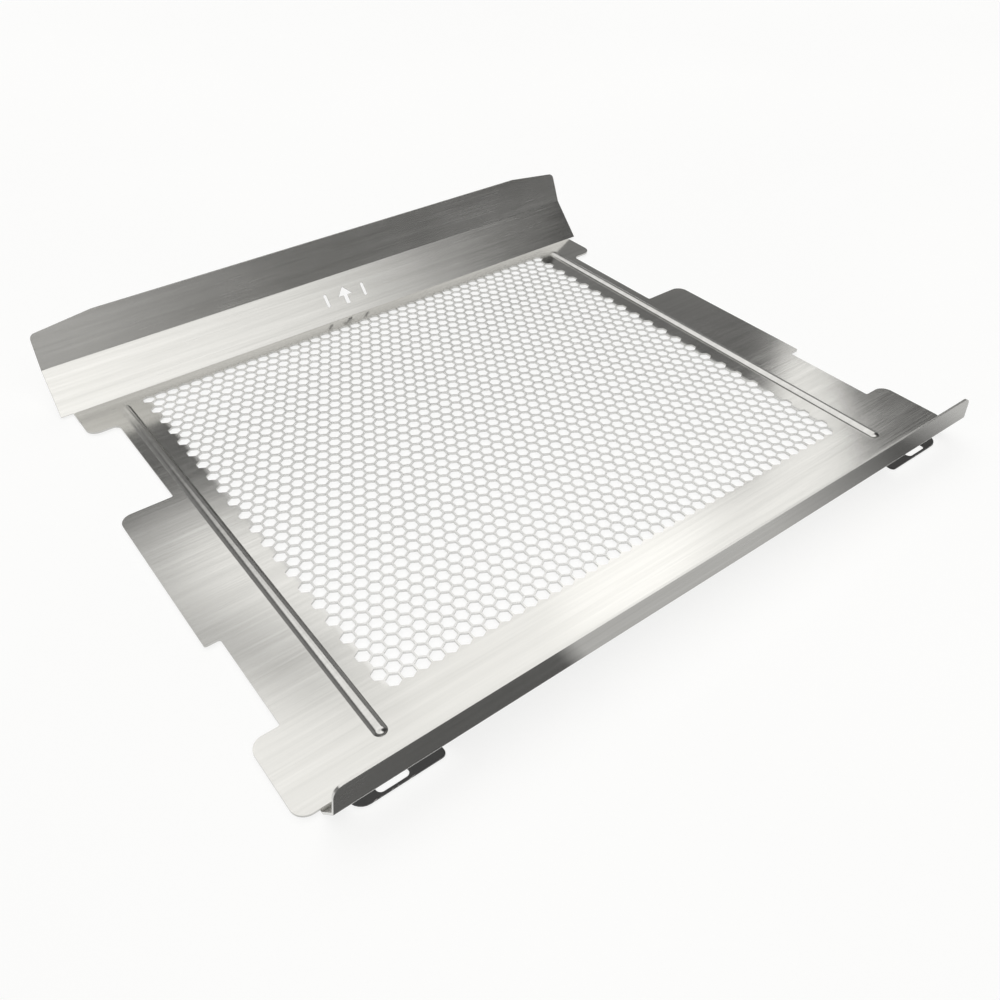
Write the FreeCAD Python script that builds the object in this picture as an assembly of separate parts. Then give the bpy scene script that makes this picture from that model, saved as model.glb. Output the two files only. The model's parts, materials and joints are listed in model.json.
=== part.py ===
import FreeCAD, Part
import math
import os

# Queen excluder in stainless sheet. Millimetres, +Z up, front towards -Y.
# The pieces are drawn about the middle of the perforated field and then moved together,
# so that the origin is the middle of the overall box on the resting plane.

V = FreeCAD.Vector

# ---------------------------------------------------------------- driving sizes

# Perforation. A worker passes a 4.4 mm hexagon and a queen does not.
hole_across_flats = 4.4
hole_pitch = 5.0
hole_rows = 42
holes_short_row = 40

# Sheet
sheet = 0.8
bend_inside = 0.8

# Panel outline: margins round the perforated field, then the wings on each side
front_margin = 23.1
rear_margin = 8.4
side_margin = 28.3
front_wing_width = 10.0
middle_wing_width = 5.0
rear_wing_inset = 3.5
notch_rib_gap = 3.75
front_wing_length = 28.8
front_waist_length = 38.7
middle_wing_length = 70.5
rear_wing_length = 17.7
wing_round = 4.5
notch_round = 2.5
cut_round = 0.8

# Folded flanges
front_web_angle = 52.0
front_web_reach = 7.65
front_lip_height = 9.5
front_flange_inset = 6.3
front_foot_depth = 14.0
front_lip_end_taper = 1.2
front_lip_round = 3.0
rear_web_angle = 49.3
rear_web_reach = 13.2
rear_lip_angle = 71.8
rear_lip_length = 16.8
rear_flange_overhang = 4.8
rear_flange_end_taper = 0.9
rear_foot_depth = 5.2
rear_lip_chamfer_run = 25.0
rear_lip_chamfer_drop = 2.7
rear_lip_round = 2.2
edge_gap = 0.15

# Slotted ears
ear_width = 28.3
ear_inset = 6.9
ear_reach = 5.9
ear_root = 14.0
ear_round = 4.5
ear_inner_round = 1.6
slot_width = 3.2
slot_length = 10.0
slot_inset = 12.3
slot_rim = 0.8
window_clearance = 0.9
window_ligament = 1.7
window_round = 1.2

# Stiffening ribs
rib_field_gap = 5.3
rib_width = 4.5
rib_height = 1.2
rib_front_inset = 8.7
rib_rear_inset = 7.0

# Orientation mark cut through the rear web: an arrow between two bars
mark_height = 8.0
mark_width = 7.0
mark_stem = 2.0
mark_bar_width = 1.6
mark_bar_height = 6.0
mark_bar_offset = 9.5
mark_bar_round = 0.72

# How far a cutting shape runs past what it cuts
over = 1.0

# ------------------------------------------------------------- derived positions

row_pitch = hole_pitch * math.sqrt(3.0) / 2.0
hole_radius = hole_across_flats / math.sqrt(3.0)
field_half = row_pitch * (hole_rows - 1) / 2.0

foot_top = sheet
panel_bottom = foot_top
panel_top = panel_bottom + sheet

field_side = hole_pitch * holes_short_row / 2.0 + hole_across_flats / 2.0
rib_centre = field_side + rib_field_gap + rib_width / 2.0
notch_half = rib_centre + rib_width / 2.0 + notch_rib_gap
waist_half = field_side + side_margin
front_wing_half = waist_half + front_wing_width
middle_wing_half = waist_half + middle_wing_width
rear_wing_half = waist_half - rear_wing_inset
front_flange_half = front_wing_half - front_flange_inset
rear_flange_half = rear_wing_half + rear_flange_overhang

panel_front = -field_half - front_margin
panel_rear = field_half + rear_margin
front_wing_rear = panel_front + front_wing_length
middle_wing_front = front_wing_rear + front_waist_length
middle_wing_rear = middle_wing_front + middle_wing_length
rear_wing_front = panel_rear - rear_wing_length

ear_outer = front_flange_half - ear_inset
ear_inner = ear_outer - ear_width
ear_front = panel_front - ear_reach
ear_rear = panel_front + ear_root
slot_centre_x = ear_outer - slot_inset
slot_centre_y = ear_front + slot_rim + slot_width / 2.0


# ------------------------------------------------------------------- small tools

def polygon_wire(points):
    return Part.makePolygon(points + [points[0]])


def rounded_wire(corners):
    """Closed wire in a plane through (point, radius) corners; radius 0 stays sharp."""
    n = len(corners)
    starts = []
    ends = []
    middles = []
    for i in range(n):
        p, r = corners[i]
        a = corners[i - 1][0]
        b = corners[(i + 1) % n][0]
        if r <= 0:
            starts.append(p)
            ends.append(p)
            middles.append(None)
            continue
        u = (a - p).normalize()
        w = (b - p).normalize()
        half = u.getAngle(w) / 2.0
        trim = r / math.tan(half)
        centre = p + (u + w).normalize() * (r / math.sin(half))
        starts.append(p + u * trim)
        ends.append(p + w * trim)
        middles.append(centre + (p - centre).normalize() * r)
    edges = []
    for i in range(n):
        if middles[i] is not None:
            edges.append(Part.Arc(starts[i], middles[i], ends[i]).toShape())
        following = starts[(i + 1) % n]
        if (following - ends[i]).Length > 1e-6:
            edges.append(Part.makeLine(ends[i], following))
    return Part.Wire(edges)


def prism(corners, direction):
    return Part.Face(rounded_wire(corners)).extrude(direction)


def box(x0, x1, y0, y1, z0, z1):
    return Part.makeBox(x1 - x0, y1 - y0, z1 - z0, V(x0, y0, z0))


def folded_strip(middle_line, half_length):
    """Sheet strip folded along X. middle_line holds (y, z) on the middle surface."""
    points = [V(0, y, z) for y, z in middle_line]
    radius = bend_inside + sheet / 2.0
    side_a = []
    side_b = []
    first = (points[1] - points[0]).normalize()
    across = V(0, -first.z, first.y)
    side_a.append([points[0] + across * (sheet / 2.0)])
    side_b.append([points[0] - across * (sheet / 2.0)])
    for i in range(1, len(points) - 1):
        p = points[i]
        u = (points[i - 1] - p).normalize()
        w = (points[i + 1] - p).normalize()
        half = u.getAngle(w) / 2.0
        centre = p + (u + w).normalize() * (radius / math.sin(half))
        before = p + u * (radius / math.tan(half))
        after = p + w * (radius / math.tan(half))
        inward = (p - centre).normalize()
        turn = (p - points[i - 1]).cross(points[i + 1] - p).x
        arcs = []
        for r in (radius - sheet / 2.0, radius + sheet / 2.0):
            arcs.append([centre + (before - centre).normalize() * r,
                         centre + inward * r,
                         centre + (after - centre).normalize() * r])
        side_a.append(arcs[0] if turn > 0 else arcs[1])
        side_b.append(arcs[1] if turn > 0 else arcs[0])
    last = (points[-1] - points[-2]).normalize()
    across = V(0, -last.z, last.y)
    side_a.append([points[-1] + across * (sheet / 2.0)])
    side_b.append([points[-1] - across * (sheet / 2.0)])

    def run(groups):
        edges = []
        position = groups[0][0]
        for group in groups[1:]:
            edges.append(Part.makeLine(position, group[0]))
            if len(group) == 3:
                edges.append(Part.Arc(group[0], group[1], group[2]).toShape())
            position = group[-1]
        return edges

    outline = run(side_a)
    outline.append(Part.makeLine(side_a[-1][-1], side_b[-1][-1]))
    outline += run(side_b)
    outline.append(Part.makeLine(side_b[0][0], side_a[0][0]))
    wire = Part.Wire(Part.__sortEdges__(outline))
    face = Part.Face(wire)
    face.translate(V(-half_length, 0, 0))
    return face.extrude(V(2.0 * half_length, 0, 0))


def mirrored(shape):
    return shape.mirror(V(0, 0, 0), V(1, 0, 0))


# ---------------------------------------------------------------- perforated panel

def hexagon(x, y, z):
    """Hexagon with two flats facing along X."""
    points = []
    for k in range(6):
        a = math.radians(30.0 + 60.0 * k)
        points.append(V(x + hole_radius * math.cos(a), y + hole_radius * math.sin(a), z))
    return polygon_wire(points)


def perforated_panel():
    z = panel_bottom
    right = [
        (V(front_wing_half, panel_front, z), wing_round),
        (V(front_wing_half, front_wing_rear, z), wing_round),
        (V(waist_half, front_wing_rear, z), cut_round),
        (V(waist_half, middle_wing_front, z), cut_round),
        (V(middle_wing_half, middle_wing_front, z), cut_round),
        (V(middle_wing_half, middle_wing_rear, z), wing_round),
        (V(notch_half, middle_wing_rear, z), cut_round),
        (V(notch_half, rear_wing_front, z), notch_round),
        (V(rear_wing_half, rear_wing_front, z), wing_round),
        (V(rear_wing_half, panel_rear, z), cut_round),
    ]
    left = [(V(-p.x, p.y, p.z), r) for p, r in reversed(right)]
    wires = [rounded_wire(right + left)]
    for row in range(hole_rows):
        count = holes_short_row + row % 2
        y = row * row_pitch - field_half
        for k in range(count):
            wires.append(hexagon((k - (count - 1) / 2.0) * hole_pitch, y, z))
    return Part.Face(wires).extrude(V(0, 0, sheet))


# -------------------------------------------------------------------- front flange

def front_flange():
    web = math.radians(front_web_angle)
    slope = math.tan(web)
    bend_run = (bend_inside + sheet / 2.0) * math.tan(web / 2.0)
    bend_y = panel_front - edge_gap - bend_run
    lip_y = bend_y - front_web_reach
    lip_base = sheet / 2.0 + front_web_reach * slope
    lip_top = lip_base + front_lip_height
    strip = folded_strip([(panel_front + front_foot_depth, sheet / 2.0), (bend_y, sheet / 2.0),
                          (lip_y, lip_base), (lip_y, lip_top)], front_flange_half)

    # The lip's ends taper a little and its top corners are rounded.
    x = front_flange_half
    crest = x - front_lip_end_taper
    y = lip_y - sheet - over
    frame = [
        (V(x, y, -over), 0),
        (V(x, y, lip_base), 0),
        (V(crest, y, lip_top), front_lip_round),
        (V(-crest, y, lip_top), front_lip_round),
        (V(-x, y, lip_base), 0),
        (V(-x, y, -over), 0),
    ]
    strip = strip.common(prism(frame, V(0, panel_rear - panel_front, 0)))

    # A window in the foot and the web lets each ear pass and a screw reach its slot.
    x0 = ear_inner - window_clearance
    x1 = ear_inner + ear_width + window_clearance
    y0 = lip_y + sheet / 2.0 + window_ligament
    y1 = panel_front + front_foot_depth + over
    window = prism([(V(x0, y0, -over), window_round), (V(x1, y0, -over), window_round),
                    (V(x1, y1, -over), 0), (V(x0, y1, -over), 0)],
                   V(0, 0, lip_base + over))
    return strip.cut(window).cut(mirrored(window)).removeSplitter()


# --------------------------------------------------------------------- rear flange

def orientation_mark(origin, along):
    """Cutters standing on the web: an upward arrow between two short bars."""
    side = V(1, 0, 0)
    through = side.cross(along)
    head = mark_height * 0.5
    shape = [
        (mark_stem / 2.0, 0.0), (mark_stem / 2.0, mark_height - head),
        (mark_width / 2.0, mark_height - head), (0.0, mark_height),
        (-mark_width / 2.0, mark_height - head), (-mark_stem / 2.0, mark_height - head),
        (-mark_stem / 2.0, 0.0),
    ]
    tools = []
    start = origin - through * (sheet + over)
    depth = through * (2.0 * (sheet + over))
    tools.append(prism([(start + side * a + along * b, 0) for a, b in shape], depth))
    low = (mark_height - mark_bar_height) / 2.0
    for centre in (-mark_bar_offset, mark_bar_offset):
        half = mark_bar_width / 2.0
        corners = [(centre - half, low), (centre + half, low),
                   (centre + half, low + mark_bar_height), (centre - half, low + mark_bar_height)]
        tools.append(prism([(start + side * a + along * b, mark_bar_round)
                            for a, b in corners], depth))
    return tools


def rear_flange():
    web = math.radians(rear_web_angle)
    lip = math.radians(rear_lip_angle)
    bend_run = (bend_inside + sheet / 2.0) * math.tan(web / 2.0)
    bend_y = panel_rear + edge_gap + bend_run
    fold_y = bend_y + rear_web_reach
    fold_z = sheet / 2.0 + rear_web_reach * math.tan(web)
    top_y = fold_y + rear_lip_length * math.cos(lip)
    top_z = fold_z + rear_lip_length * math.sin(lip)
    strip = folded_strip([(panel_rear - rear_foot_depth, sheet / 2.0), (bend_y, sheet / 2.0),
                          (fold_y, fold_z), (top_y, top_z)], rear_flange_half)

    # End cut: slightly tapered ends, long shallow chamfers and small rounds on the lip.
    x = rear_flange_half
    crest = rear_flange_half - 2.0 * rear_flange_end_taper
    chamfer_start = crest - rear_lip_chamfer_run
    chamfer_end_z = top_z - rear_lip_chamfer_drop
    frame = [
        (V(x, panel_front, -over), 0),
        (V(x, panel_front, foot_top), 0),
        (V(crest, panel_front, chamfer_end_z), rear_lip_round),
        (V(chamfer_start, panel_front, top_z), 0),
        (V(-chamfer_start, panel_front, top_z), 0),
        (V(-crest, panel_front, chamfer_end_z), rear_lip_round),
        (V(-x, panel_front, foot_top), 0),
        (V(-x, panel_front, -over), 0),
    ]
    strip = strip.common(prism(frame, V(0, 2.0 * (panel_rear - panel_front), 0)))

    # The foot stops at the rear wings; past them only the web runs on.
    for sign in (-1, 1):
        inner = rear_wing_half * sign
        outer = (rear_flange_half + over) * sign
        low = min(inner, outer)
        high = max(inner, outer)
        strip = strip.cut(box(low, high, panel_rear - rear_foot_depth - over,
                              bend_y + bend_run, -over, panel_top + over))

    along = V(0, math.cos(web), math.sin(web))
    web_length = rear_web_reach / math.cos(web)
    start = V(0, bend_y, sheet / 2.0) + along * ((web_length - mark_height) / 2.0)
    for tool in orientation_mark(start, along):
        strip = strip.cut(tool)
    return strip.removeSplitter()


# ------------------------------------------------------------------- slotted ears

def ear():
    x0 = ear_inner
    x1 = ear_inner + ear_width
    plate = prism([(V(x0, ear_front, 0), ear_inner_round), (V(x1, ear_front, 0), ear_round),
                   (V(x1, ear_rear, 0), cut_round), (V(x0, ear_rear, 0), cut_round)],
                  V(0, 0, sheet))
    r = slot_width / 2.0
    run = slot_length / 2.0 - r
    a = V(slot_centre_x - run, slot_centre_y, -over)
    b = V(slot_centre_x + run, slot_centre_y, -over)
    slot = Part.makeCylinder(r, sheet + 2.0 * over, a)
    slot = slot.fuse(Part.makeCylinder(r, sheet + 2.0 * over, b))
    slot = slot.fuse(box(a.x, b.x, slot_centre_y - r, slot_centre_y + r, -over, sheet + over))
    return plate.cut(slot).removeSplitter()


# --------------------------------------------------------------------------- ribs

def rib():
    y0 = panel_front + rib_front_inset
    y1 = panel_rear - rib_rear_inset
    half = rib_width / 2.0
    a = V(rib_centre - half, 0, panel_top)
    crown = V(rib_centre, 0, panel_top + rib_height)
    b = V(rib_centre + half, 0, panel_top)
    arch = Part.Arc(a, crown, b).toShape()
    bar = Part.Face(Part.Wire([arch, Part.makeLine(b, a)]))
    bar.translate(V(0, y0 + half, 0))
    bar = bar.extrude(V(0, y1 - y0 - rib_width, 0))
    base = V(rib_centre, 0, panel_top)
    radius = (half * half + rib_height * rib_height) / (2.0 * rib_height)
    centre = V(rib_centre, 0, panel_top + rib_height - radius)
    halfway = math.asin(half / radius) / 2.0
    on_arc = centre + V(math.sin(halfway), 0, math.cos(halfway)) * radius
    quarter = Part.Arc(crown, on_arc, b).toShape()
    lens = Part.Face(Part.Wire([quarter, Part.makeLine(b, base), Part.makeLine(base, crown)]))
    dome = lens.revolve(base, V(0, 0, 1), 360.0)
    for y in (y0 + half, y1 - half):
        end = dome.copy()
        end.translate(V(0, y, 0))
        bar = bar.fuse(end)
    return bar.removeSplitter()


# ------------------------------------------------------------------------- output

pieces = {
    "mesh_panel": perforated_panel(),
    "front_flange": front_flange(),
    "rear_flange": rear_flange(),
    "rib_right": rib(),
    "rib_left": mirrored(rib()),
    "ear_right": ear(),
    "ear_left": mirrored(ear()),
}

front_end = pieces["front_flange"].BoundBox.YMin
rear_end = pieces["rear_flange"].BoundBox.YMax
to_middle = V(0, -(front_end + rear_end) / 2.0, 0)

os.makedirs("parts", exist_ok=True)
for name, shape in pieces.items():
    shape.translate(to_middle)
    shape.exportStep("parts/" + name + ".step")
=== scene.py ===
# %% [markdown]
# # A queen excluder in bent stainless sheet
# A queen excluder is a grid that lies between two boxes of a beehive. Worker bees pass its
# holes and the larger queen does not. This one is a flat perforated panel with a folded
# flange at the front and at the rear, two stiffening ribs and two slotted ears.
# The CAD model holds all the sizes. Here the perforated panel stays as it is, and the other
# six pieces are made again with soft bends and broken edges, because those catch the light.

# %% Load the frame
import json
import math

import bmesh
import bpy
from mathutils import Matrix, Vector


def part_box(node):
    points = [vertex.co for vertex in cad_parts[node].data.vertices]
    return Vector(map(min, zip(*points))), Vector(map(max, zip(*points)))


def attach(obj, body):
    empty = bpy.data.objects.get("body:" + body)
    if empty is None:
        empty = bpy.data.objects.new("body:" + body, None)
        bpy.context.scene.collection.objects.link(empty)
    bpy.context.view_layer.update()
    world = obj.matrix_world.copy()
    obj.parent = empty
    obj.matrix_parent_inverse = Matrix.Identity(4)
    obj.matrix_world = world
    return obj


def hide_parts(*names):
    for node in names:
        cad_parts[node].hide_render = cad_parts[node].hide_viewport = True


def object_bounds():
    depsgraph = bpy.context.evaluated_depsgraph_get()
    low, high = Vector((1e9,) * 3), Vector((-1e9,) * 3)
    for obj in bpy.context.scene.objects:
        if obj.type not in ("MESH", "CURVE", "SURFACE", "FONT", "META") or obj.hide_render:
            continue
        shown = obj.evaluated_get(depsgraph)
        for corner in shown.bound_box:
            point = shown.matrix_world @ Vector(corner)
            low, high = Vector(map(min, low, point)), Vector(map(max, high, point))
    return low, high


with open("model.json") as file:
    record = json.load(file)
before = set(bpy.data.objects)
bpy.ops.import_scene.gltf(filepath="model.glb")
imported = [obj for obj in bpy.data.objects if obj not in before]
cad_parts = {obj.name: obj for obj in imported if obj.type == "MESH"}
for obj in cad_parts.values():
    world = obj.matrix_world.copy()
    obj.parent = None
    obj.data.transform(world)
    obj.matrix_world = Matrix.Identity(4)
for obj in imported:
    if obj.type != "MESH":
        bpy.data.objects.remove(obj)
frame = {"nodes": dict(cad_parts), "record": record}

cad_low, cad_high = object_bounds()
panel_low, panel_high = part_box("mesh_panel")
mm = 0.001
sheet = panel_high.z - panel_low.z
print("CAD box", tuple(cad_low), tuple(cad_high), "sheet", round(sheet / mm, 3), "mm")

# %% [markdown]
# ## The camera
# A lens of 33 mm stands 0.2 m above the left front corner and looks down across the panel,
# at about 41 degrees. The direction is written as a turn from straight back and a tilt down,
# which says more to a reader than three rotation values.

# %% Camera
camera_left = 0.1747
camera_before_panel = 0.12789
camera_height = 0.21448
camera_place = Vector((-camera_left, panel_low.y - camera_before_panel, camera_height))
camera_turn = math.radians(37.383)
camera_tilt = math.radians(40.98)
camera_aim = Vector((math.sin(camera_turn) * math.cos(camera_tilt),
                     math.cos(camera_turn) * math.cos(camera_tilt),
                     -math.sin(camera_tilt)))
camera_data = bpy.data.cameras.new("camera")
camera_data.lens = 33.47
camera_data.sensor_width = 36.0
camera_data.clip_start = 0.01
camera_data.clip_end = 20.0
camera = bpy.data.objects.new("camera", camera_data)
bpy.context.scene.collection.objects.link(camera)
camera.location = camera_place
camera.rotation_euler = camera_aim.to_track_quat("-Z", "Y").to_euler()
bpy.context.scene.camera = camera
print("camera looks along", [round(v, 3) for v in camera_aim])

# %% [markdown]
# ## Small hand tools
# An operator works on whatever is selected. These helpers do what a hand does before each
# step: take one object, put a new object's place into its mesh, and pick only the vertices,
# edges or faces that lie in a certain place.

# %% Taking and picking


def take(piece):
    """Makes piece the only selected object, and the active one."""
    if bpy.context.mode != "OBJECT":
        bpy.ops.object.mode_set(mode="OBJECT")
    bpy.ops.object.select_all(action="DESELECT")
    piece.select_set(True)
    bpy.context.view_layer.objects.active = piece


def new_piece(name):
    """Names the primitive that was just added, and puts its place into its mesh."""
    piece = bpy.context.active_object
    piece.name = name
    piece.data.name = name
    take(piece)
    bpy.ops.object.transform_apply(location=True, rotation=True, scale=True)
    return piece


def middle_of(item, kind):
    if kind == "VERT":
        return item.co
    if kind == "EDGE":
        return (item.verts[0].co + item.verts[1].co) / 2
    return item.calc_center_median()


def pick(piece, kind, test):
    """In edit mode, selects only the vertices, edges or faces whose middle passes the test."""
    bpy.ops.mesh.select_mode(type=kind)
    bpy.ops.mesh.select_all(action="DESELECT")
    mesh = bmesh.from_edit_mesh(piece.data)
    group = {"VERT": mesh.verts, "EDGE": mesh.edges, "FACE": mesh.faces}[kind]
    found = [item for item in group if test(middle_of(item, kind))]
    for item in found:
        item.select_set(True)
    mesh.select_flush_mode()
    bmesh.update_edit_mesh(piece.data)
    return len(found)


def near(a, b):
    return abs(a - b) < 0.01 * mm


# %% [markdown]
# ## Cutting and finishing sheet
# A shear cuts a sheet along a straight line: the bisect operator does the same and throws the
# outer side away. A bend is an edge that a bevel turns into an arc. When the flat shape is
# right, Solidify gives it the thickness of the sheet and a narrow Bevel breaks its rims, as a
# deburring wheel does. The rims then show a fine bright line instead of a knife edge.

# %% Sheet work
corner_room = 0.2 * mm
cut_precision = 1e-7
weld_distance = 1e-6


def shear(point, outward, drop=True):
    """Cuts the piece in hand along a plane and drops the side that outward points to."""
    bpy.ops.mesh.select_all(action="SELECT")
    bpy.ops.mesh.bisect(plane_co=point, plane_no=outward, clear_outer=drop,
                        threshold=cut_precision)


def bend(piece, line_y, line_z, turn, radius, steps=8):
    """Rounds the fold that runs along X through (line_y, line_z)."""
    pick(piece, "EDGE", lambda p: near(p.y, line_y) and near(p.z, line_z))
    bpy.ops.mesh.bevel(offset=radius * math.tan(turn / 2), segments=steps, affect="EDGES")


def round_corner(piece, corner_x, corner_y, corner_z, radius, turn=math.pi / 2, steps=6):
    """Rounds one corner of the flat outline."""
    corner = Vector((corner_x, corner_y, corner_z))
    count = pick(piece, "VERT", lambda p: (p - corner).length < corner_room)
    bpy.ops.mesh.bevel(offset=radius * math.tan(turn / 2), segments=steps, affect="VERTICES")
    print(count, "corner rounded on", piece.name)


def apply_all(piece):
    take(piece)
    for modifier in list(piece.modifiers):
        bpy.ops.object.modifier_apply(modifier=modifier.name)


def thicken(piece):
    """Gives the flat shape the sheet's thickness, half to each side."""
    solid = piece.modifiers.new("thickness", "SOLIDIFY")
    solid.thickness = sheet
    solid.offset = 0.0
    solid.use_even_offset = True
    apply_all(piece)


def deburr(piece, width=0.12 * mm):
    """Breaks the sharp rims."""
    rim = piece.modifiers.new("rim", "BEVEL")
    rim.width = width
    rim.segments = 2
    rim.limit_method = "ANGLE"
    rim.angle_limit = math.radians(50)
    rim.harden_normals = False
    apply_all(piece)


def smooth_bends(piece):
    """Shades the bends round and keeps the large faces flat."""
    take(piece)
    bpy.ops.object.shade_smooth_by_angle(angle=math.radians(35))
    flat = piece.modifiers.new("flat", "WEIGHTED_NORMAL")
    flat.keep_sharp = True
    apply_all(piece)


def cut_out(piece, cutter):
    """Takes the cutter's shape out of the piece, and removes the cutter."""
    hole = piece.modifiers.new("hole", "BOOLEAN")
    hole.operation = "DIFFERENCE"
    hole.solver = "EXACT"
    hole.object = cutter
    apply_all(piece)
    bpy.data.objects.remove(cutter, do_unlink=True)


def report(piece):
    faces = len(piece.data.polygons)
    low = [round(min(v.co[i] for v in piece.data.vertices) / mm, 2) for i in range(3)]
    high = [round(max(v.co[i] for v in piece.data.vertices) / mm, 2) for i in range(3)]
    print(piece.name, faces, "faces, mm", low, high)


# %% [markdown]
# ## Folded strip
# Both flanges start the same way: a plane for the foot, then its outer edge is extruded once
# for the sloping web and once for the lip. The line follows the middle of the sheet, so the
# thickness can be added evenly later.

# %% Folded strip
bend_radius = 0.8 * mm + sheet / 2
lap_gap = 0.15 * mm


def strip_along(name, half_length, line):
    """A sharp-folded strip along X; line holds (y, z) from the foot's rim to the lip's rim."""
    (y0, z0), y1 = line[0], line[1][0]
    bpy.ops.object.select_all(action="DESELECT")
    bpy.ops.mesh.primitive_plane_add(size=1.0, location=(0.0, (y0 + y1) / 2, z0))
    bpy.context.active_object.scale = (2 * half_length, abs(y1 - y0), 1.0)
    piece = new_piece(name)
    bpy.ops.object.mode_set(mode="EDIT")
    for (ya, za), (yb, zb) in zip(line[1:], line[2:]):
        pick(piece, "EDGE", lambda p: near(p.y, ya) and near(p.z, za))
        bpy.ops.mesh.extrude_region_move(
            TRANSFORM_OT_translate={"value": (0.0, yb - ya, zb - za)})
    return piece


# %% [markdown]
# ## Front flange
# The front strip rises at 52 degrees and then stands upright. Its lip is 9.5 mm high, a little
# shorter than the wings are wide, with round top corners. Over each ear the foot and the web
# are cut away, so that a screw and its driver reach the slot.

# %% Front flange
front_low, front_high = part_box("front_flange")
front_half = front_high.x
front_reach = 7.65 * mm
front_slope = math.radians(52.0)
lip_y = front_low.y + sheet / 2
lip_foot_z = sheet / 2 + front_reach * math.tan(front_slope)
front_fold_y = lip_y + front_reach
front_line = [(front_high.y, sheet / 2), (front_fold_y, sheet / 2),
              (lip_y, lip_foot_z), (lip_y, front_high.z)]
front_flange = strip_along("folded_front_flange", front_half, front_line)
bend(front_flange, front_fold_y, sheet / 2, front_slope, bend_radius)
bend(front_flange, lip_y, lip_foot_z, math.pi / 2 - front_slope, bend_radius)

lip_end_taper = 1.2 * mm
lip_corner = 3.0 * mm
lip_height = front_high.z - lip_foot_z
for side in (-1, 1):
    shear((side * front_half, 0.0, lip_foot_z), (side * lip_height, 0.0, lip_end_taper))
    round_corner(front_flange, side * (front_half - lip_end_taper), lip_y, front_high.z,
                 lip_corner)
print("lip", round(lip_height / mm, 2), "mm high")

# %% Windows over the ears
ear_low, ear_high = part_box("ear_right")
window_room = 0.9 * mm
web_ligament = 1.7 * mm
window_left = ear_low.x - window_room
window_right = ear_high.x + window_room
window_front = lip_y + sheet / 2 + web_ligament
window_corner = 1.2 * mm
window_front_z = sheet / 2 + (front_fold_y - window_front) * math.tan(front_slope)
for x in (-window_right, -window_left, window_left, window_right):
    shear((x, 0.0, 0.0), (1.0, 0.0, 0.0), drop=False)
pick(front_flange, "FACE", lambda p: window_left < abs(p.x) < window_right)
bpy.ops.mesh.bisect(plane_co=(0.0, window_front, 0.0), plane_no=(0.0, 1.0, 0.0),
                    threshold=cut_precision)
pick(front_flange, "FACE",
     lambda p: window_left < abs(p.x) < window_right and p.y > window_front)
bpy.ops.mesh.delete(type="FACE")
for x in (-window_right, -window_left, window_left, window_right):
    round_corner(front_flange, x, window_front, window_front_z, window_corner)
thicken(front_flange)
deburr(front_flange)
report(front_flange)

# %% [markdown]
# ## Rear flange
# The rear strip is taller: its lip leans back by 18 degrees. Its ends are sheared at a slight
# taper, and long shallow cuts lower the lip's outer corners. The foot stops at the rear wings.

# %% Rear flange
rear_low, rear_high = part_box("rear_flange")
rear_half = rear_high.x
rear_reach = 13.2 * mm
web_slope = math.radians(49.3)
rear_lip_slope = math.radians(71.8)
rear_lip_length = 16.8 * mm
half_fold = bend_radius * math.tan(web_slope / 2)
rear_fold_y = panel_high.y + lap_gap + half_fold
rear_top_y = rear_fold_y + rear_reach
rear_top_z = sheet / 2 + rear_reach * math.tan(web_slope)
rim_y = rear_top_y + rear_lip_length * math.cos(rear_lip_slope)
rim_z = rear_top_z + rear_lip_length * math.sin(rear_lip_slope)
rear_line = [(rear_low.y, sheet / 2), (rear_fold_y, sheet / 2),
             (rear_top_y, rear_top_z), (rim_y, rim_z)]
rear_flange = strip_along("folded_rear_flange", rear_half, rear_line)
bend(rear_flange, rear_fold_y, sheet / 2, web_slope, bend_radius)
bend(rear_flange, rear_top_y, rear_top_z, rear_lip_slope - web_slope, bend_radius)

# %% Rear flange ends
rear_wing_half = 127.0 * mm
end_taper = 1.8 * mm
lip_round = 2.2 * mm
chamfer_run = 25.0 * mm
chamfer_drop = 2.7 * mm
corner_z = rim_z - chamfer_drop
corner_x = rear_half - end_taper
corner_y = rear_top_y + (corner_z - rear_top_z) / math.tan(rear_lip_slope)
corner_turn = math.pi / 2 - math.atan(chamfer_drop / chamfer_run)
for side in (-1, 1):
    shear((side * rear_half, 0.0, sheet), (side * (corner_z - sheet), 0.0, end_taper))
    shear((side * corner_x, 0.0, corner_z), (side * chamfer_drop, 0.0, chamfer_run))
    round_corner(rear_flange, side * corner_x, corner_y, corner_z, lip_round, corner_turn)
    shear((side * rear_wing_half, 0.0, 0.0), (1.0, 0.0, 0.0), drop=False)
foot_end_y = rear_fold_y + half_fold
pick(rear_flange, "FACE", lambda p: abs(p.x) > rear_wing_half and p.y < foot_end_y)
bpy.ops.mesh.delete(type="FACE")
thicken(rear_flange)
bpy.ops.object.mode_set(mode="EDIT")
bpy.ops.mesh.select_all(action="SELECT")
bpy.ops.mesh.bisect(plane_co=(0.0, 0.0, rear_high.z), plane_no=(0.0, 0.0, 1.0),
                    clear_outer=True, use_fill=True, threshold=cut_precision)

# %% [markdown]
# ## Orientation mark
# A mark cut through the rear web shows which side goes up: here a plain arrow between two
# bars. Simple cutters are placed flat, tilted with the web and subtracted. The arrow is a
# triangular prism above a square stem. A triangle in a circle of radius 1 is the root of 3
# wide and 1.5 high, so the prism is scaled by those.

# %% Orientation mark
web_length = rear_reach / math.cos(web_slope)
mark_height = 8.0 * mm
mark_width = 7.0 * mm
head_height = mark_height / 2
mark_depth = 6.0 * mm
stem_width = 2.0 * mm
stem_overlap = 0.2 * mm
bar_half_width = 0.8 * mm
bar_stretch = 2.2 * mm
bar_distance = 9.5 * mm
mark_base = (web_length - mark_height) / 2


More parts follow.
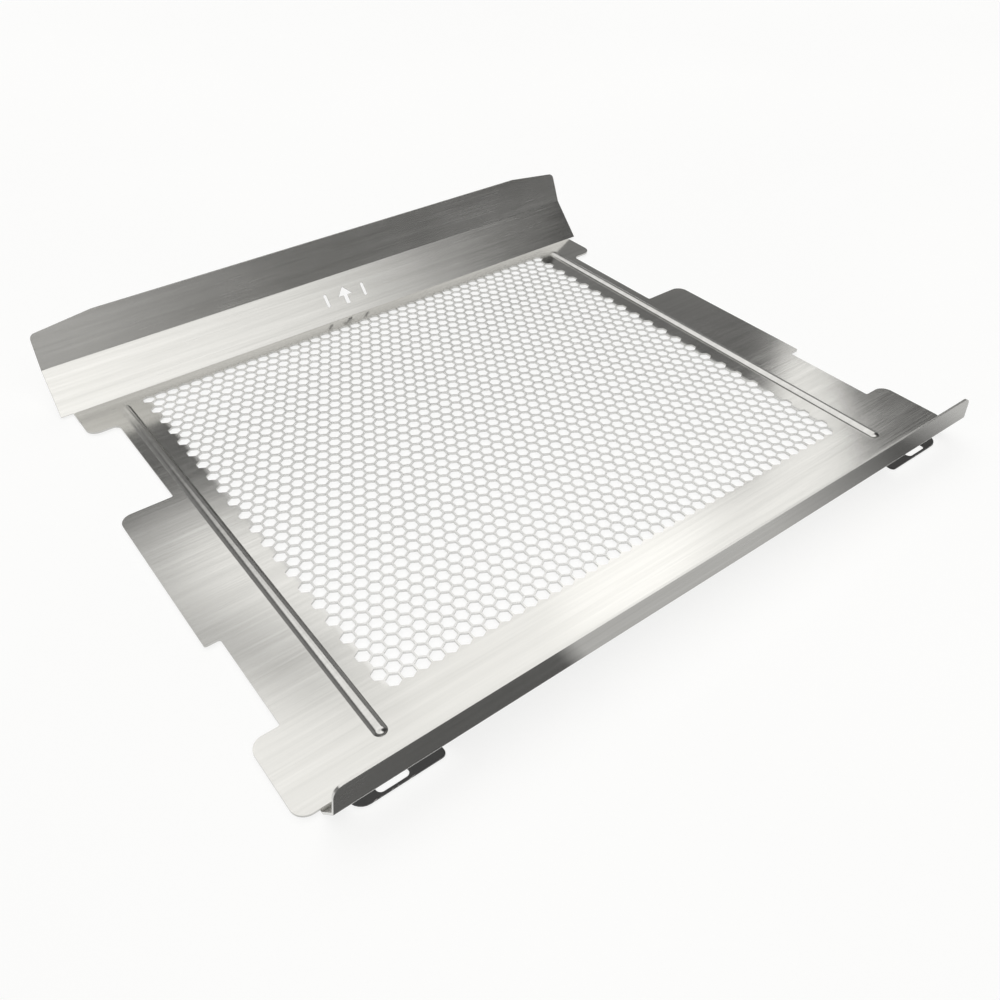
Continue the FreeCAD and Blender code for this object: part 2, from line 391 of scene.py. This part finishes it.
def tilt_onto_web(cutter, across, along):
    """Lays a flat cutter on the web, with its middle at (across, along) from the lower bend."""
    take(cutter)
    bpy.ops.object.transform_apply(location=False, rotation=True, scale=True)
    cutter.rotation_euler = (web_slope, 0.0, 0.0)
    cutter.location = (across, rear_fold_y + along * math.cos(web_slope),
                       sheet / 2 + along * math.sin(web_slope))
    bpy.ops.object.transform_apply(location=True, rotation=True, scale=True)


bpy.ops.object.mode_set(mode="OBJECT")
bpy.ops.object.select_all(action="DESELECT")
bpy.ops.mesh.primitive_cylinder_add(vertices=3, radius=1.0, depth=mark_depth)
head = bpy.context.active_object
head.scale = (mark_width / math.sqrt(3), head_height / 1.5, 1.0)
tilt_onto_web(head, 0.0, mark_base + mark_height - head_height * 2 / 3)
cut_out(rear_flange, head)
stem_height = mark_height - head_height + stem_overlap
bpy.ops.mesh.primitive_cube_add(size=1.0)
stem = bpy.context.active_object
stem.scale = (stem_width, stem_height, mark_depth)
tilt_onto_web(stem, 0.0, mark_base + stem_height / 2)
cut_out(rear_flange, stem)
for across in (-bar_distance, bar_distance):
    bpy.ops.mesh.primitive_cylinder_add(vertices=24, radius=bar_half_width, depth=mark_depth)
    bar = bpy.context.active_object
    bpy.ops.object.mode_set(mode="EDIT")
    for way in (-1, 1):
        pick(bar, "VERT", lambda p: p.y * way > weld_distance)
        bpy.ops.transform.translate(value=(0.0, way * bar_stretch, 0.0))
    bpy.ops.object.mode_set(mode="OBJECT")
    tilt_onto_web(bar, across, web_length / 2)
    cut_out(rear_flange, bar)
deburr(rear_flange)
report(rear_flange)

# %% [markdown]
# ## Ribs
# Each rib is a low half-round bar with domed ends, laid on the margin beside the perforated
# field. A sphere is cut flat where it meets the panel, halved, and its open section is drawn
# out along the rib. A Mirror modifier makes the far half, so both ends are alike.

# %% Ribs
rib_low, rib_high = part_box("rib_right")
rib_middle = (rib_low + rib_high) / 2
rib_half_width = (rib_high.x - rib_low.x) / 2
rib_height = rib_high.z - rib_low.z
rib_radius = (rib_half_width ** 2 + rib_height ** 2) / (2 * rib_height)
dome_y = rib_low.y + rib_half_width

bpy.ops.object.select_all(action="DESELECT")
bpy.ops.mesh.primitive_uv_sphere_add(segments=64, ring_count=48, radius=rib_radius,
                                     location=(rib_middle.x, dome_y, rib_high.z - rib_radius))
rib_right = new_piece("half_round_rib_right")
bpy.ops.object.mode_set(mode="EDIT")
bpy.ops.mesh.select_all(action="SELECT")
bpy.ops.mesh.bisect(plane_co=(0.0, 0.0, rib_low.z), plane_no=(0.0, 0.0, 1.0),
                    clear_inner=True, use_fill=True, threshold=cut_precision)
shear((0.0, dome_y, 0.0), (0.0, 1.0, 0.0))
pick(rib_right, "VERT", lambda p: near(p.y, dome_y))
bpy.ops.mesh.extrude_region_move(
    TRANSFORM_OT_translate={"value": (0.0, rib_middle.y - dome_y, 0.0)})
bpy.ops.object.mode_set(mode="OBJECT")
take(rib_right)
bpy.context.scene.cursor.location = (0.0, rib_middle.y, 0.0)
bpy.ops.object.origin_set(type="ORIGIN_CURSOR")
far_half = rib_right.modifiers.new("far_half", "MIRROR")
far_half.use_axis = (False, True, False)
far_half.merge_threshold = 10 * weld_distance
apply_all(rib_right)
bpy.ops.object.transform_apply(location=True, rotation=True, scale=True)
bpy.context.scene.cursor.location = (0.0, 0.0, 0.0)
bpy.ops.object.mode_set(mode="EDIT")
bpy.ops.mesh.select_all(action="SELECT")
bpy.ops.mesh.remove_doubles(threshold=weld_distance)
bpy.ops.mesh.normals_make_consistent(inside=False)
bpy.ops.object.mode_set(mode="OBJECT")
report(rib_right)

take(rib_right)
bpy.ops.object.duplicate()
rib_left = bpy.context.active_object
rib_left.location.x = -2 * rib_middle.x
rib_left = new_piece("half_round_rib_left")
report(rib_left)

# %% [markdown]
# ## Slotted ears
# The ears are flat tabs with one slot each. The plane gets round corners before it gets its
# thickness, and the slot is a cylinder whose two halves are pulled apart. The left ear is a
# mirrored copy, so its faces are turned to point outwards again.

# %% Ears
slot_half_width = 1.6 * mm
slot_half_length = 5.0 * mm
outer_round = 4.5 * mm
inner_round = 1.6 * mm
rear_round = 0.8 * mm
ear_rim = 0.15 * mm
slot_x = frame["record"]["mounts"][0]["dims"]["spacing_x_mm"] * mm / 2
slot_y = frame["record"]["mounts"][0]["pos_m"][1]

bpy.ops.object.select_all(action="DESELECT")
bpy.ops.mesh.primitive_plane_add(size=1.0, location=((ear_low.x + ear_high.x) / 2,
                                                     (ear_low.y + ear_high.y) / 2, sheet / 2))
bpy.context.active_object.scale = (ear_high.x - ear_low.x, ear_high.y - ear_low.y, 1.0)
ear_right = new_piece("slotted_ear_right")
bpy.ops.object.mode_set(mode="EDIT")
for x, y, radius in ((ear_high.x, ear_low.y, outer_round), (ear_low.x, ear_low.y, inner_round),
                     (ear_high.x, ear_high.y, rear_round), (ear_low.x, ear_high.y, rear_round)):
    round_corner(ear_right, x, y, sheet / 2, radius)
thicken(ear_right)
bpy.ops.mesh.primitive_cylinder_add(vertices=32, radius=slot_half_width, depth=4 * mm)
slot_cutter = new_piece("slot_cutter")
bpy.ops.object.mode_set(mode="EDIT")
for way in (-1, 1):
    pick(slot_cutter, "VERT", lambda p: p.x * way > weld_distance)
    bpy.ops.transform.translate(value=(way * (slot_half_length - slot_half_width), 0.0, 0.0))
bpy.ops.object.mode_set(mode="OBJECT")
slot_cutter.location = (slot_x, slot_y, 0.0)
bpy.ops.object.transform_apply(location=True, rotation=True, scale=True)
cut_out(ear_right, slot_cutter)
deburr(ear_right, ear_rim)
report(ear_right)

take(ear_right)
bpy.ops.object.duplicate()
bpy.context.active_object.scale.x = -1.0
ear_left = new_piece("slotted_ear_left")
bpy.ops.object.mode_set(mode="EDIT")
bpy.ops.mesh.select_all(action="SELECT")
bpy.ops.mesh.normals_make_consistent(inside=False)
bpy.ops.object.mode_set(mode="OBJECT")
report(ear_left)

# %% [markdown]
# ## Material helpers
# A procedural material is a short chain of nodes. These helpers add a node, wire it, and make
# the noise that all the finishes share. Stretched along one axis it gives the long fine lines
# of rolling, and unstretched it gives soft clouds. It reads Object coordinates, in metres, so
# the patterns keep their real size and run on from piece to piece.

# %% Material helpers


class Finish:
    """A material under construction: its node tree and its metal or paint shader."""

    def __init__(self, name):
        self.material = bpy.data.materials.new(name)
        self.material.use_nodes = True
        self.nodes = self.material.node_tree.nodes
        self.links = self.material.node_tree.links
        self.shader = self.nodes["Principled BSDF"]
        self.place = self.nodes.new("ShaderNodeTexCoord")

    def add(self, kind, **inputs):
        node = self.nodes.new(kind)
        for name, value in inputs.items():
            node.inputs[name.replace("_", " ")].default_value = value
        return node

    def noise(self, scale, stretch=(1.0, 1.0, 1.0), detail=3.0, rough=0.5):
        """Noise of about scale patches per metre, drawn out where stretch is small."""
        mapping = self.add("ShaderNodeMapping", Scale=[s * scale for s in stretch])
        noise = self.add("ShaderNodeTexNoise", Scale=1.0, Detail=detail, Roughness=rough)
        self.links.new(self.place.outputs["Object"], mapping.inputs["Vector"])
        self.links.new(mapping.outputs["Vector"], noise.inputs["Vector"])
        return noise.outputs["Fac"]

    def spread(self, value, low, high, start=0.3, end=0.7):
        """Moves a noise value into the range from low to high."""
        node = self.add("ShaderNodeMapRange", From_Min=start, From_Max=end,
                        To_Min=low, To_Max=high)
        self.links.new(value, node.inputs["Value"])
        return node.outputs["Result"]

    def combine(self, operation, a, b):
        node = self.nodes.new("ShaderNodeMath")
        node.operation = operation
        for socket, value in zip(node.inputs, (a, b)):
            if isinstance(value, (int, float)):
                socket.default_value = value
            else:
                self.links.new(value, socket)
        return node.outputs["Value"]

    def blend(self, share, colour_a, colour_b):
        """Mixes two colours; each is a tuple or the output of a node."""
        node = self.nodes.new("ShaderNodeMix")
        node.data_type = "RGBA"
        self.links.new(share, node.inputs["Factor"])
        sides = [socket for socket in node.inputs if socket.type == "RGBA"]
        for socket, colour in zip(sides, (colour_a, colour_b)):
            if isinstance(colour, tuple):
                socket.default_value = (*colour, 1.0)
            else:
                self.links.new(colour, socket)
        return [socket for socket in node.outputs if socket.type == "RGBA"][0]

    def bump(self, height, distance, over=None):
        node = self.add("ShaderNodeBump", Distance=distance, Strength=1.0)
        self.links.new(height, node.inputs["Height"])
        if over is not None:
            self.links.new(over, node.inputs["Normal"])
        return node.outputs["Normal"]

    def wire(self, name, value):
        self.links.new(value, self.shader.inputs[name])

    def inside(self, axis, low, high, edge):
        """1 between low and high along one axis, with a soft edge, and 0 outside."""
        parts = self.nodes.new("ShaderNodeSeparateXYZ")
        self.links.new(self.place.outputs["Object"], parts.inputs["Vector"])
        return self.combine("MULTIPLY",
                            self.spread(parts.outputs[axis], 0.0, 1.0, low - edge, low + edge),
                            self.spread(parts.outputs[axis], 1.0, 0.0, high - edge, high + edge))

    def sidewall(self):
        """1 on faces that stand upright, such as the walls of the holes, and 0 on flat ones."""
        parts = self.nodes.new("ShaderNodeSeparateXYZ")
        self.links.new(self.place.outputs["Normal"], parts.inputs["Vector"])
        upright = self.combine("ABSOLUTE", parts.outputs["Z"], 0.0)
        return self.spread(upright, 1.0, 0.0, 0.3, 0.7)


# %% [markdown]
# ## Stainless sheet
# Rolled stainless sheet is a mirror that has been blurred one way: its grain runs along the
# coil, so a reflection smears across it. Four layers make the look: fine grain in the bump and
# the roughness, paler and darker streaks, hand smudges some centimetres wide, and the slow
# waviness that any thin sheet has, which bends long reflections. Punching leaves the narrow
# lands between the holes scratched, so there the steel scatters more. Their colour is also made
# paler: a painted sheen that stands in for the bright reflection the lands show.

# %% Stainless sheet
field_half_width = 100 * mm
field_front = panel_low.y + 23 * mm
field_rear = panel_high.y - 8 * mm
field_edge = 1.5 * mm
wave_depth = 0.35 * mm
# painted sheen: a pale colour for the lands, standing in for the bright reflection they show
land_painted_sheen_colour = (0.86, 0.86, 0.85)


def stainless(name, light, dark, grain_depth, roughness, punched=False):
    finish = Finish(name)
    grain = finish.noise(2600.0, (0.012, 1.0, 1.0), 4.0, 0.6)
    streaks = finish.noise(420.0, (0.02, 1.0, 1.0), 3.0, 0.55)
    smudges = finish.noise(26.0, (0.7, 1.0, 1.0), 4.0, 0.55)
    waves = finish.noise(11.0, (0.6, 1.0, 1.0), 1.0, 0.4)
    tone = finish.combine("MULTIPLY", finish.spread(streaks, 0.0, 1.0), 0.6)
    tone = finish.combine("ADD", tone, finish.spread(smudges, 0.0, 0.4))
    colour = finish.blend(tone, dark, light)
    rough = finish.combine("ADD", finish.spread(grain, -0.04, 0.04),
                           finish.spread(smudges, roughness - 0.025, roughness + 0.035))
    if punched:
        wall = finish.sidewall()
        burr = finish.noise(1500.0, (1.0, 1.0, 0.2), 2.0)
        colour = finish.blend(finish.combine("MULTIPLY", wall, 0.25), colour,
                              tuple(0.55 * c for c in dark))
        rough = finish.combine("ADD", rough, finish.combine(
            "MULTIPLY", wall, finish.spread(burr, 0.12, 0.22)))
        # the lands mask carries both the extra roughness and the painted sheen
        lands_rough_and_painted_sheen = finish.combine(
            "MULTIPLY", finish.inside("X", -field_half_width, field_half_width, field_edge),
            finish.inside("Y", field_front, field_rear, field_edge))
        rough = finish.combine("ADD", rough, finish.combine("MULTIPLY", lands_rough_and_painted_sheen, 0.30))
        # painted sheen: the lands' colour is blended towards a pale tone in place of their bright
        # reflection
        colour = finish.blend(finish.combine("MULTIPLY", lands_rough_and_painted_sheen, 0.8), colour, land_painted_sheen_colour)
    finish.wire("Base Color", colour)
    finish.wire("Roughness", rough)
    normal = finish.bump(waves, wave_depth)
    normal = finish.bump(grain, grain_depth, over=normal)
    finish.wire("Normal", normal)
    finish.shader.inputs["Metallic"].default_value = 1.0
    print("finish", name, "with", len(finish.nodes), "nodes")
    return finish.material


steel_light = (0.66, 0.655, 0.635)
steel_dark = (0.55, 0.545, 0.525)
panel_steel = stainless("rolled_panel_steel", steel_light, steel_dark, 0.007 * mm, 0.115,
                        punched=True)
folded_steel = stainless("rolled_folded_steel", steel_light, steel_dark, 0.010 * mm, 0.22)
rib_steel = stainless("drawn_rib_steel", (0.62, 0.615, 0.60), (0.50, 0.495, 0.48),
                      0.006 * mm, 0.17)

# %% [markdown]
# ## Black coat
# The ears carry a thin black coat over the same steel. It is smooth to the touch but shows a
# faint orange-peel skin, paler dust in patches, and small spots of bare metal on its cut edges
# and in the slot, where it gets rubbed. The coat is a paint: dark, not metallic, half glossy.

# %% Black coat
peel_depth = 0.012 * mm
coat_black = (0.012, 0.012, 0.012)
coat_dusty = (0.045, 0.044, 0.042)
rubbed_steel = (0.42, 0.41, 0.40)


def black_coat(name):
    finish = Finish(name)
    peel = finish.noise(1400.0, detail=2.0)
    dust = finish.noise(120.0, detail=5.0, rough=0.65)
    wear = finish.noise(600.0, detail=4.0, rough=0.7)
    colour = finish.blend(finish.spread(dust, 0.0, 1.0, 0.45, 0.8), coat_black, coat_dusty)
    bare = finish.combine("MULTIPLY", finish.sidewall(), finish.spread(wear, 0.0, 1.0, 0.58, 0.64))
    finish.wire("Base Color", finish.blend(bare, colour, rubbed_steel))
    finish.wire("Metallic", bare)
    finish.wire("Roughness", finish.spread(dust, 0.30, 0.52))
    finish.wire("Normal", finish.bump(peel, peel_depth))
    print("finish", name, "with", len(finish.nodes), "nodes")
    return finish.material


ear_coat = black_coat("black_ear_coat")

# %% [markdown]
# ## Fitting out
# Each piece gets its finish, its CAD node is hidden, and it rides on the one body of the
# object. The perforated panel is the CAD node itself: its flat faces and 1701 holes are
# already right, and only its finish is new.

# %% Finishes and bodies
made = [
    (front_flange, "front_flange", folded_steel, "steel_sheet"),
    (rear_flange, "rear_flange", folded_steel, "steel_sheet"),
    (rib_right, "rib_right", rib_steel, "steel_rib"),
    (rib_left, "rib_left", rib_steel, "steel_rib"),
    (ear_right, "ear_right", ear_coat, "ear_coat"),
    (ear_left, "ear_left", ear_coat, "ear_coat"),
]
for piece, node, finish, slot_name in made:
    smooth_bends(piece)
    piece.data.materials.clear()
    piece.data.materials.append(finish)
    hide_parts(node)
    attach(piece, "root")
panel = frame["nodes"]["mesh_panel"]
for slot_holder in panel.material_slots:
    slot_holder.material = panel_steel
print(len(made) + 1, "pieces fitted out")

# %% [markdown]
# ## Floor
# A plain pale floor lies at the plane that the excluder rests on. It glows a little, like a
# light table, so that the holes of the panel show white and the shadows stay faint.

# %% Floor
floor_size = 6.0
floor_gap = 0.05 * mm
floor_glow = 0.76
bpy.ops.object.select_all(action="DESELECT")
bpy.ops.mesh.primitive_plane_add(size=floor_size, location=(0.0, 0.0, cad_low.z - floor_gap))
floor = new_piece("floor")
floor_finish = Finish("pale_floor")
floor_tone = floor_finish.noise(3.0, detail=2.0)
floor_finish.wire("Base Color", floor_finish.blend(
    floor_finish.spread(floor_tone, 0.0, 1.0), (0.27, 0.27, 0.27), (0.29, 0.29, 0.288)))
floor_finish.shader.inputs["Emission Color"].default_value = (1.0, 1.0, 0.995, 1.0)
floor_finish.shader.inputs["Emission Strength"].default_value = floor_glow
floor_finish.shader.inputs["Roughness"].default_value = 0.9
floor_finish.shader.inputs["Specular IOR Level"].default_value = 0.1
floor.data.materials.append(floor_finish.material)
print("floor of", floor_size, "m, glow", floor_glow)

# %% [markdown]
# ## A card for the lip
# The upright lip mirrors the strip of floor just before it. A card lies there that only
# reflections see. From left to right it goes dark, bright, dark and bright again, in soft
# steps, which gives the lip its long gradation without touching the floor itself.

# %% Card before the lip
card_length = 340 * mm
card_depth = 24 * mm
card_gap = 0.5 * mm
card_x = 10 * mm
card_y = front_low.y - card_gap - card_depth / 2
card_z = cad_low.z + 0.1 * mm
dark_glow = 0.13
card_steps = ((-54, -46, 0.50), (40, 108, -0.50), (116, 152, 0.55))
bpy.ops.object.select_all(action="DESELECT")
bpy.ops.mesh.primitive_plane_add(size=1.0, location=(card_x, card_y, card_z))
bpy.context.active_object.scale = (card_length, card_depth, 1.0)
card = new_piece("lip_card")
card_finish = Finish("card_glow")
card_parts = card_finish.nodes.new("ShaderNodeSeparateXYZ")
card_finish.links.new(card_finish.place.outputs["Object"], card_parts.inputs["Vector"])
card_glow = dark_glow
for start, end, change in card_steps:
    step = card_finish.spread(card_parts.outputs["X"], 0.0, change, start * mm, end * mm)
    card_glow = card_finish.combine("ADD", card_glow, step)
card_finish.wire("Emission Strength", card_glow)
card_finish.shader.inputs["Emission Color"].default_value = (1.0, 0.995, 0.98, 1.0)
card_finish.shader.inputs["Base Color"].default_value = (0.0, 0.0, 0.0, 1.0)
card_finish.shader.inputs["Specular IOR Level"].default_value = 0.0
card.data.materials.append(card_finish.material)
card.visible_camera = False
card.visible_diffuse = False
card.visible_shadow = False
print("card of", card_length / mm, "mm with", len(card_steps), "steps")

# %% [markdown]
# ## Studio light
# Polished sheet has hardly any colour of its own: it shows what stands round it. So the light
# is a dome all round the excluder, and its brightness is worked out from the direction of each
# ray: its height above the horizon, and its bearing to the right of straight back, both in
# degrees. A lit room built from lamps and walls could do the same, but here each reflection
# can be placed by two angles.

# %% Directions in the dome
world = bpy.data.worlds.new("studio")
bpy.context.scene.world = world
world.use_nodes = True
sky = world.node_tree.nodes
wires = world.node_tree.links
sky.clear()


def sky_math(operation, a, b=0.0):
    node = sky.new("ShaderNodeMath")
    node.operation = operation
    for socket, value in zip(node.inputs, (a, b)):
        if isinstance(value, (int, float)):
            socket.default_value = value
        else:
            wires.new(value, socket)
    return node.outputs["Value"]


def soft_step(value, start, end):
    """0 below start, 1 above end, and a soft edge between them. Either may be a socket."""
    node = sky.new("ShaderNodeMapRange")
    node.interpolation_type = "SMOOTHSTEP"
    wires.new(value, node.inputs["Value"])
    for name, edge in (("From Min", start), ("From Max", end)):
        if isinstance(edge, (int, float)):
            node.inputs[name].default_value = edge
        else:
            wires.new(edge, node.inputs[name])
    return node.outputs["Result"]


ray = sky.new("ShaderNodeTexCoord")
ray_parts = sky.new("ShaderNodeSeparateXYZ")
wires.new(ray.outputs["Generated"], ray_parts.inputs["Vector"])
degrees = 180.0 / math.pi
height = sky_math("MULTIPLY", sky_math("ARCSINE", ray_parts.outputs["Z"]), degrees)
bearing = sky_math("MULTIPLY", sky_math("ARCTAN2", ray_parts.outputs["X"],
                                        ray_parts.outputs["Y"]), degrees)
turned = sky_math("ABSOLUTE", bearing)


def less(value):
    """Turns a share into what is left of 1."""
    return sky_math("SUBTRACT", 1.0, value)


def band(value, rise_start, rise_end, fall_start, fall_end):
    """1 between rise_end and fall_start, 0 outside, with soft edges."""
    return sky_math("MULTIPLY", soft_step(value, rise_start, rise_end),
                    less(soft_step(value, fall_start, fall_end)))


print("directions made with", len(sky), "nodes")

# %% [markdown]
# The upper half of the dome makes the white parts of the metal: a bright ceiling with a soft
# lower edge, a narrow bright gap below it at the right, and a hotter patch beside that. A grey
# cloud and a shade at the left break up the light on the left wings. On the front right a tall
# dark side wall takes the light off the end of the rear flange, and the top is a little
# shaded, so that the sheet isn't blown out from above.

# %% Ceiling
ceiling_glow = 1.20
hot_glow = 0.30
cloud_shade = 0.52
side_shade = 0.34
top_shade = 0.30
edge_height = 40.4
edge_slant = 0.05
edge_softness = 2.2
gap_slant = 0.7
cloud_slant = 0.35
ceiling_edge = sky_math("SUBTRACT", edge_height, sky_math("MULTIPLY", bearing, edge_slant))
ceiling = soft_step(height, sky_math("SUBTRACT", ceiling_edge, edge_softness),
                    sky_math("ADD", ceiling_edge, edge_softness))
gap_end = sky_math("ADD", 60.5, sky_math("MULTIPLY", sky_math("SUBTRACT", height, 31.5),
                                         gap_slant))
gap = band(bearing, 56.0, 57.5, gap_end, sky_math("ADD", gap_end, 1.0))
gap = sky_math("MULTIPLY", gap, soft_step(height, 27.0, 30.0))
bright = sky_math("MULTIPLY", sky_math("MAXIMUM", ceiling, gap), ceiling_glow)
hot = sky_math("MULTIPLY", band(bearing, 40.0, 45.0, 52.0, 57.0),
               band(height, 39.0, 42.0, 47.0, 51.0))
bright = sky_math("ADD", bright, sky_math("MULTIPLY", hot, hot_glow))
bright = sky_math("MULTIPLY", bright, less(sky_math(
    "MULTIPLY", soft_step(height, 70.0, 84.0), top_shade)))
cloud_height = sky_math("SUBTRACT", height, sky_math("MULTIPLY", bearing, cloud_slant))
cloud = sky_math("MULTIPLY", band(bearing, 4.0, 12.0, 16.0, 31.0),
                 band(cloud_height, 38.5, 41.5, 43.5, 46.5))
bright = sky_math("MULTIPLY", bright, less(sky_math("MULTIPLY", cloud, cloud_shade)))
left_shade = sky_math("MULTIPLY", band(bearing, -14.0, -6.0, 9.5, 13.0),
                      band(height, 37.0, 39.5, 45.5, 48.5))
bright = sky_math("MULTIPLY", bright, less(sky_math("MULTIPLY", left_shade, side_shade)))
side_wall = sky_math("MULTIPLY", band(bearing, 75.0, 90.0, 136.0, 145.0),
                     less(soft_step(height, 66.0, 78.0)))
bright = sky_math("MULTIPLY", bright, less(side_wall))
print("ceiling glow", ceiling_glow, "above", edge_height, "degrees")

# %% [markdown]
# The lower half is a dim grey wall, which gives the metal its dark parts. It is a little
# brighter at the horizon behind the excluder and in front of it, and a small lamp low in front
# shows in the end of the rear lip.

# %% Wall
wall_glow = 0.15
horizon_glow = 0.16
front_glow = 0.34
lamp_glow = 0.40
side_wall_shade = 0.07
front = sky_math("MULTIPLY", soft_step(turned, 150.0, 179.0), front_glow)
lamp = sky_math("MULTIPLY", band(turned, 167.5, 170.5, 173.5, 176.0),
                band(height, 0.0, 4.0, 14.0, 19.0))
front = sky_math("ADD", front, sky_math("MULTIPLY", lamp, lamp_glow))
horizon = sky_math("MULTIPLY", less(soft_step(height, 22.0, 34.0)),
                   less(soft_step(turned, 75.0, 90.0)))
wall = sky_math("SUBTRACT", wall_glow, sky_math("MULTIPLY", side_wall, side_wall_shade))
wall = sky_math("ADD", wall, sky_math("MULTIPLY", horizon, horizon_glow))
glow = sky_math("ADD", sky_math("ADD", front, bright), wall)
print("wall glow", wall_glow, "and front glow", front_glow)

# %% [markdown]
# The metal sees the dome, but the camera sees an even pale backdrop behind the floor's edge.

# %% Backdrop and world
seen = sky.new("ShaderNodeLightPath")
backdrop_glow = 0.92
by_camera = seen.outputs["Is Camera Ray"]
shown = sky_math("ADD", sky_math("MULTIPLY", glow, less(by_camera)),
                 sky_math("MULTIPLY", by_camera, backdrop_glow))
background = sky.new("ShaderNodeBackground")
wires.new(shown, background.inputs["Strength"])
background.inputs["Color"].default_value = (1.0, 0.995, 0.98, 1.0)
world_output = sky.new("ShaderNodeOutputWorld")
wires.new(background.outputs["Background"], world_output.inputs["Surface"])
bpy.context.scene.view_settings.view_transform = "Standard"
print("studio dome with", len(sky), "nodes")
